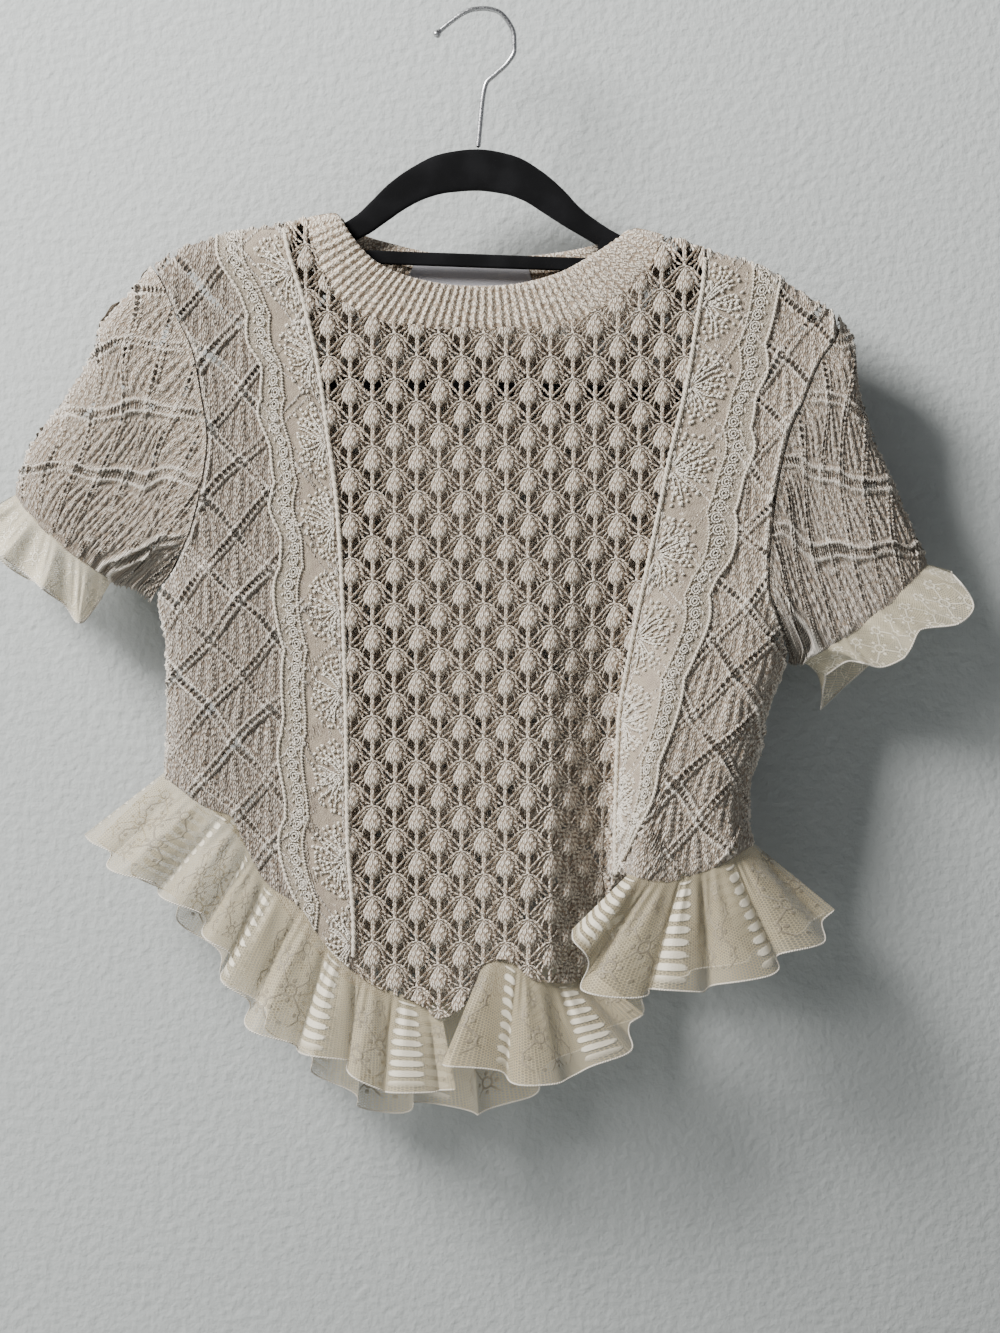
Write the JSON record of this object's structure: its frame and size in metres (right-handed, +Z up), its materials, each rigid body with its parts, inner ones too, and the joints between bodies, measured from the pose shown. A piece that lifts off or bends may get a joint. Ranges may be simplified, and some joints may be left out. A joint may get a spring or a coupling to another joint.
{
  "type": "cropped knit top on a clothes hanger",
  "caption": "Short-sleeved cropped openwork knit top with lace strips and gathered lace at the hem and cuffs, hanging on a slim flocked hanger with a wire hook.",
  "frame": {"origin": "inside top of the hanger's hook, where the hook rests on a rail or pin", "axes": "+Z up, the garment's front faces -Y, +X to the right as seen from the front"},
  "size_m": [0.5911, 0.0849, 0.667],
  "materials": {
    "knit": "soft matte cotton knit in warm cream",
    "lace": "matte embroidered ivory lace",
    "tulle": "sheer ivory net lace with corded edge",
    "label": "bare pale satin",
    "velvet": "black flock over plastic",
    "chrome": "satin plated wire"
  },
  "bodies": {
    "root": {"front_panel": "knit", "front_side_left": "knit", "front_side_right": "knit", "back_panel": "knit", "neckband_front": "knit", "neckband_back": "knit", "sleeve_left": "knit", "sleeve_right": "knit", "lace_strip_left": "lace", "lace_strip_right": "lace", "cuff_ruffle_left": "tulle", "cuff_ruffle_right": "tulle", "hem_ruffle_left": "tulle", "hem_ruffle_centre": "tulle", "hem_ruffle_right": "tulle", "hem_ruffle_back": "tulle", "neck_label": "label", "hanger_arch": "velvet", "hanger_arm_left": "velvet", "hanger_arm_right": "velvet", "hanger_trouser_bar": "velvet", "hanger_tie_bar": "velvet", "hanger_hook": "chrome"}
  },
  "joints": []
}
